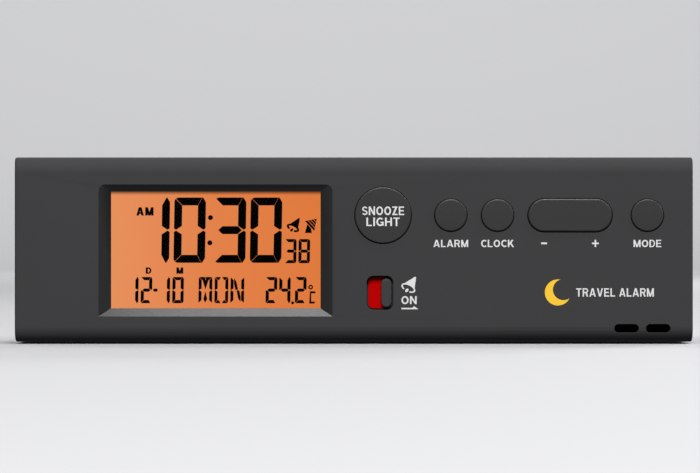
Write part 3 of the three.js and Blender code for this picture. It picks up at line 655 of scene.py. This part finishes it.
def bell(left, base, width, height, line=0.09):
    """A hand bell that rings to the lower left: a solid cone, an open mouth and a clapper."""
    mouth = (0.415, 0.29, 0.454 - line / 2, 0.25 - line / 2)
    rim = bow(*mouth, -66, 240, line, -28)
    cone = arc(*mouth, 25, 167, 12, -28)
    cone += [(0.79, 0.985), (0.84, 1.0), (0.88, 0.95)]
    clapper = arc(0.325, 0.14, 0.13, 0.085, 0, 345, 14, 52)
    return placed([rim, cone, clapper], left, base, width / 0.88, height)


def dish(left, base, width, height):
    """A dish aerial on a stand, drawn in stripes."""
    near, far, tip = Vector((0, 0.84)), Vector((0.78, 0.14)), Vector((0.98, 1.0))
    stripes = []
    for start, end in ((0, 0.23), (0.28, 0.46), (0.51, 0.7), (0.75, 1)):
        corners = (near.lerp(tip, start), far.lerp(tip, start), far.lerp(tip, end), near.lerp(tip, end))
        stripes.append([tuple(corner) for corner in corners])
    stand = [(0.2, 0.62), (0.5, 0.34), (0.58, 0), (0, 0)]
    return placed([*stripes, stand], left, base, width, height)


# The C after the degree sign
CELSIUS = [(38.05, 0.9), (39.05, 0.9), (39.2, 1.28), (38.44, 1.28)]
CELSIUS += [(38.44, 2.87), (39.3, 2.87), (39.2, 3.27), (38.2, 3.27)]
PICTURE = {
    "lcd_hours_minutes": [
        *digit("1", 5.02, LARGE_BASE, **LARGE),
        *digit("0", 11.92, LARGE_BASE, **LARGE),
        disc(19.05, 17.44, 0.48),
        disc(18.94, 12.59, 0.48),
        *digit("3", 19.69, LARGE_BASE, **LARGE),
        *digit("0", 26.61, LARGE_BASE, **LARGE),
    ],
    "lcd_seconds": [*digit("3", 33.34, SECONDS_BASE, **SECONDS), *digit("8", 35.95, SECONDS_BASE, **SECONDS)],
    "lcd_date": [
        *digit("1", 2.96, SMALL_BASE, **SMALL),
        *digit("2", 5.6, SMALL_BASE, **SMALL),
        [(8.0, 3.49), (8.16, 3.2), (8.76, 3.2), (8.94, 3.49), (8.76, 3.78), (8.16, 3.78)],
        *digit("1", 9.03, SMALL_BASE, **SMALL),
        *digit("0", 11.67, SMALL_BASE, **SMALL),
    ],
    "lcd_weekday": [*weekday_letter("M", 16.72), *weekday_letter("O", 19.8), *weekday_letter("N", 22.86)],
    "lcd_temperature": [
        *digit("2", 29.64, SMALL_BASE, **SMALL),
        *digit("4", 32.22, SMALL_BASE, **SMALL),
        disc(34.86, 1.04, 0.29),
        *digit("2", 35.28, SMALL_BASE, **SMALL),
        *ring(38.33, 4.06, 0.33, 0.33, 0.26),
        CELSIUS,
    ],
    "lcd_letters": [
        *lettering("AM", 4.8, 8.1, 17.82, 1.61, 0.245),
        *lettering("D", 6.6, 7.68, 6.63, 1.23, 0.25),
        *lettering("M", 12.5, 13.82, 6.63, 1.23, 0.25),
    ],
    "lcd_icons": [*bell(33.74, 14.66, 2.52, 2.72, 0.15), *dish(37.22, 14.47, 2.33, 2.75)],
}
# The picture stands just in front of the display's first layer
SEGMENT_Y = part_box("lcd_front_polarizer")[0].y - 0.03 * MM
for name, outlines in PICTURE.items():
    on_display = placed(outlines, WINDOW_LOW.x / MM, WINDOW_LOW.z / MM)
    flat_piece(name, on_display, SEGMENT_Y, "lcd_segment", height=0.03)

# ---------------------------------------------------------------------------------------------
# Printed labels
# ---------------------------------------------------------------------------------------------

KEY_LABEL_BASE, KEY_LABEL_HEIGHT = 18.59, 1.39
for key, width in (("alarm", 6.65), ("clock", 6.3), ("mode", 5.33)):
    centre = middle(f"{key}_key").x / MM
    sides = (centre - width / 2, centre + width / 2)
    words = lettering(key.upper(), *sides, KEY_LABEL_BASE, KEY_LABEL_HEIGHT)
    flat_piece(f"{key}_label", words, FACE_Y, "print_white")

snooze = middle("snooze_key") / MM
snooze_words = lettering("SNOOZE", snooze.x - 4.05, snooze.x + 4.05, snooze.z, 1.65)
snooze_words += lettering("LIGHT", snooze.x - 3.19, snooze.x + 3.19, snooze.z - 2.1, 1.63)
flat_piece("snooze_light_label", snooze_words, KEY_FACE_Y, "print_white", "snooze_button")

rocker = middle("minus_plus_key") / MM
SIGN_Z = 19.31
minus = [block(rocker.x - 5.54, SIGN_Z - 0.17, rocker.x - 4.42, SIGN_Z + 0.17)]
plus = [
    block(rocker.x + 4.2, SIGN_Z - 0.15, rocker.x + 5.5, SIGN_Z + 0.15),
    block(rocker.x + 4.7, SIGN_Z - 0.69, rocker.x + 5.0, SIGN_Z + 0.69),
]
flat_piece("minus_sign", minus, FACE_Y, "print_white")
flat_piece("plus_sign", plus, FACE_Y, "print_white")

# The bell, the word and the arrow beside the switch share a left side
SWITCH_LABELS_LEFT = 9.12
flat_piece("alarm_bell_icon", bell(SWITCH_LABELS_LEFT, 9.87, 2.82, 3.05), FACE_Y, "print_white")
flat_piece("on_label", lettering("ON", SWITCH_LABELS_LEFT, 12.05, 7.66, 1.54), FACE_Y, "print_white")
arrow = [
    [(SWITCH_LABELS_LEFT, 6.68), (12.32, 6.68), (12.0, 6.95), (SWITCH_LABELS_LEFT, 6.95)],
    [(11.2, 6.9), (11.52, 7.28), (12.32, 6.68)],
]
flat_piece("on_arrow", arrow, FACE_Y, "print_white")


# A crescent moon between a circle and a smaller one set to its upper right, from horn to horn and back
MOON_X, MOON_Z = 39.1, 9.9
moon = arc(MOON_X, MOON_Z, 2.5, 2.5, 79.4, 333.8, 24)
moon += arc(MOON_X + 1.06, MOON_Z + 0.53, 2.02, 2.02, -54.1, -252.7, 20)[1:-1]
flat_piece("moon_mark", [moon], FACE_Y, "print_amber")
flat_piece("travel_alarm_label", lettering("TRAVEL ALARM", 42.6, 57.5, 9.1, 1.6), FACE_Y, "print_white")

# ---------------------------------------------------------------------------------------------
# The silicone key pad: a sheet, and a dome behind each key that flattens as the key goes in
# ---------------------------------------------------------------------------------------------

PAD_LOW, PAD_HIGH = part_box("rubber_keypad")
PAD_END_RADIUS = 3.6
SHEET_THICKNESS = 0.75
# The dome's half section, as distances from its middle line and from its flat top. Its foot stands on the
# sheet, round a hole.
FOOT_INSIDE, FOOT_DEPTH = 2.7, 2.64
DOME = [(0, 0), (2.2, 0), (2.2, 1.35), (3.3, FOOT_DEPTH), (FOOT_INSIDE, FOOT_DEPTH), (1.75, 1.6), (0, 1.6)]
DOME_JOINTS = {key: f"{key}_press" for key in ("snooze", "alarm", "clock", "mode")}
DOME_JOINTS.update(minus="minus_plus_rock", plus="minus_plus_rock")


def pad_sheet():
    """The flat part of the pad, with a hole behind each dome."""
    places = [middle(f"{key}_carbon_pill") / MM for key in DOME_JOINTS]
    mode = middle("mode_carbon_pill") / MM
    outline = [
        block(PAD_LOW.x / MM, PAD_LOW.z / MM, mode.x, PAD_HIGH.z / MM),
        disc(mode.x, mode.z, PAD_END_RADIUS),
    ]
    holes = [disc(place.x, place.z, FOOT_INSIDE) for place in places]
    sheet = flat_piece("keypad_sheet", outline, PAD_HIGH.y, "silicone", height=SHEET_THICKNESS, holes=holes)
    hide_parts("rubber_keypad")


def pad_dome(key):
    """A hollow dome turned from its half section. It keeps 77% of its height when its key is fully in."""
    place = middle(f"{key}_carbon_pill")
    built = bmesh.new()
    section = [built.verts.new((place.x + r * MM, PAD_LOW.y + y * MM, place.z)) for r, y in DOME]
    edges = [built.edges.new(pair) for pair in zip(section, section[1:])]
    bmesh.ops.spin(
        built, geom=section + edges, cent=place, axis=(0, 1, 0), angle=2 * math.pi, steps=32, use_merge=True
    )
    bmesh.ops.remove_doubles(built, verts=built.verts, dist=0.001 * MM)
    bmesh.ops.recalc_face_normals(built, faces=built.faces)
    for face in built.faces:
        face.smooth = abs(face.normal.y) < 0.99
    dome = new_object(f"{key}_dome", built, MATERIALS["silicone"])
    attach(dome, CASE)
    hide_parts("rubber_keypad")
    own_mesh(dome)


pad_sheet()
for key, joint in DOME_JOINTS.items():
    pad_dome(key)

# ---------------------------------------------------------------------------------------------
# Studio
# ---------------------------------------------------------------------------------------------


def studio():
    """A pale floor that curves up into a backdrop."""
    material, tree, shader = new_material("pale_paper")
    fibre = object_noise(tree, 2 * MM, detail=3.0)
    tree.links.new(tinted(tree, fibre, (0.42, 0.42, 0.43), 0.01), shader.inputs["Base Color"])
    shader.inputs["Roughness"].default_value = 0.8
    built = bmesh.new()
    front, depth, bend, height, half = -1.3, 2.0, 0.5, 1.6, 0.9
    profile = [(front, 0.0), (depth, 0.0)]
    profile += [
        (depth + bend * math.sin(math.radians(a)), bend * (1 - math.cos(math.radians(a))))
        for a in range(10, 91, 10)
    ]
    profile.append((depth + bend, height))
    left = [built.verts.new((-half, y, z)) for y, z in profile]
    right = [built.verts.new((half, y, z)) for y, z in profile]
    for step in range(len(profile) - 1):
        face = built.faces.new((left[step], right[step], right[step + 1], left[step + 1]))
        face.smooth = True
    backdrop = new_object("floor_and_backdrop", built, material)
    # As with flags round a studio set, the paper doesn't throw light back on to the dark case.
    backdrop.visible_diffuse = False
    backdrop.visible_glossy = False


def soft_light(name, place, aim, width, height, watts):
    """A rectangular soft light that points at aim, with its width as near to the X axis as it can be."""
    lamp = bpy.data.lights.new(name, "AREA")
    lamp.shape = "RECTANGLE"
    lamp.size = width
    lamp.size_y = height
    lamp.energy = watts
    obj = bpy.data.objects.new(name, lamp)
    obj.location = place
    back = (Vector(place) - Vector(aim)).normalized()
    across = (Vector((1, 0, 0)) - back * back.x).normalized()
    obj.rotation_euler = Matrix((across, back.cross(across), back)).transposed().to_euler()
    obj.visible_camera = False
    bpy.context.scene.collection.objects.link(obj)


def camera():
    """A long lens straight in front of the clock, a little off the middle of its face."""
    distance = 0.9
    view_width = 134.14 * MM
    view_x, view_z = -0.73 * MM, 20.62 * MM
    sensor_width = 36
    lens = bpy.data.cameras.new("camera")
    lens.sensor_width = sensor_width
    lens.lens = sensor_width * distance / view_width
    lens.clip_end = 20
    obj = bpy.data.objects.new("camera", lens)
    obj.location = (view_x, FACE_Y - distance, view_z)
    obj.rotation_euler = (math.pi / 2, 0, 0)
    bpy.context.scene.collection.objects.link(obj)
    bpy.context.scene.camera = obj


def surroundings():
    """Dim bluish light from all round, and a plain pale backdrop wherever the paper ends."""
    world = bpy.data.worlds.new("studio")
    world.use_nodes = True
    tree = world.node_tree
    dim = tree.nodes["Background"]
    dim.inputs["Color"].default_value = (0.9, 0.95, 1.0, 1)
    dim.inputs["Strength"].default_value = 0.15
    pale = tree.nodes.new("ShaderNodeBackground")
    pale.inputs["Color"].default_value = (0.6, 0.6, 0.61, 1)
    seen = tree.nodes.new("ShaderNodeLightPath")
    either = tree.nodes.new("ShaderNodeMixShader")
    tree.links.new(seen.outputs["Is Camera Ray"], either.inputs["Fac"])
    tree.links.new(dim.outputs["Background"], either.inputs[1])
    tree.links.new(pale.outputs["Background"], either.inputs[2])
    tree.links.new(either.outputs["Shader"], tree.nodes["World Output"].inputs["Surface"])
    bpy.context.scene.world = world


bpy.context.scene.view_settings.view_transform = "Standard"

studio()
surroundings()
camera()
# Each light's place, what it points at, its width and height, and its watts
LIGHTS = {
    "overhead": ((0.2, -0.1, 0.6), (0, 0, 0.03), 0.6, 0.08, 1.15),
    "rear_rim": ((-0.1, 0.5, 0.6), (0, 0, 0.03), 1.0, 0.3, 2.5),
    "rear_fill": ((0.8, 1.1, 0.35), (0, 0, 0.02), 0.6, 0.2, 12),
    "backdrop_wash": ((0, 1.5, 1.2), (0, 2.5, 0.1), 2.4, 0.3, 30),
    "right_rim": ((0.7, -0.06, 0.4), (0, 0, 0.03), 0.3, 0.3, 2.6),
    "key": ((-0.05, -1.2, 1.04), (0, 0, 0.02), 0.9, 0.6, 31),
}
for name, settings in LIGHTS.items():
    soft_light(name, *settings)
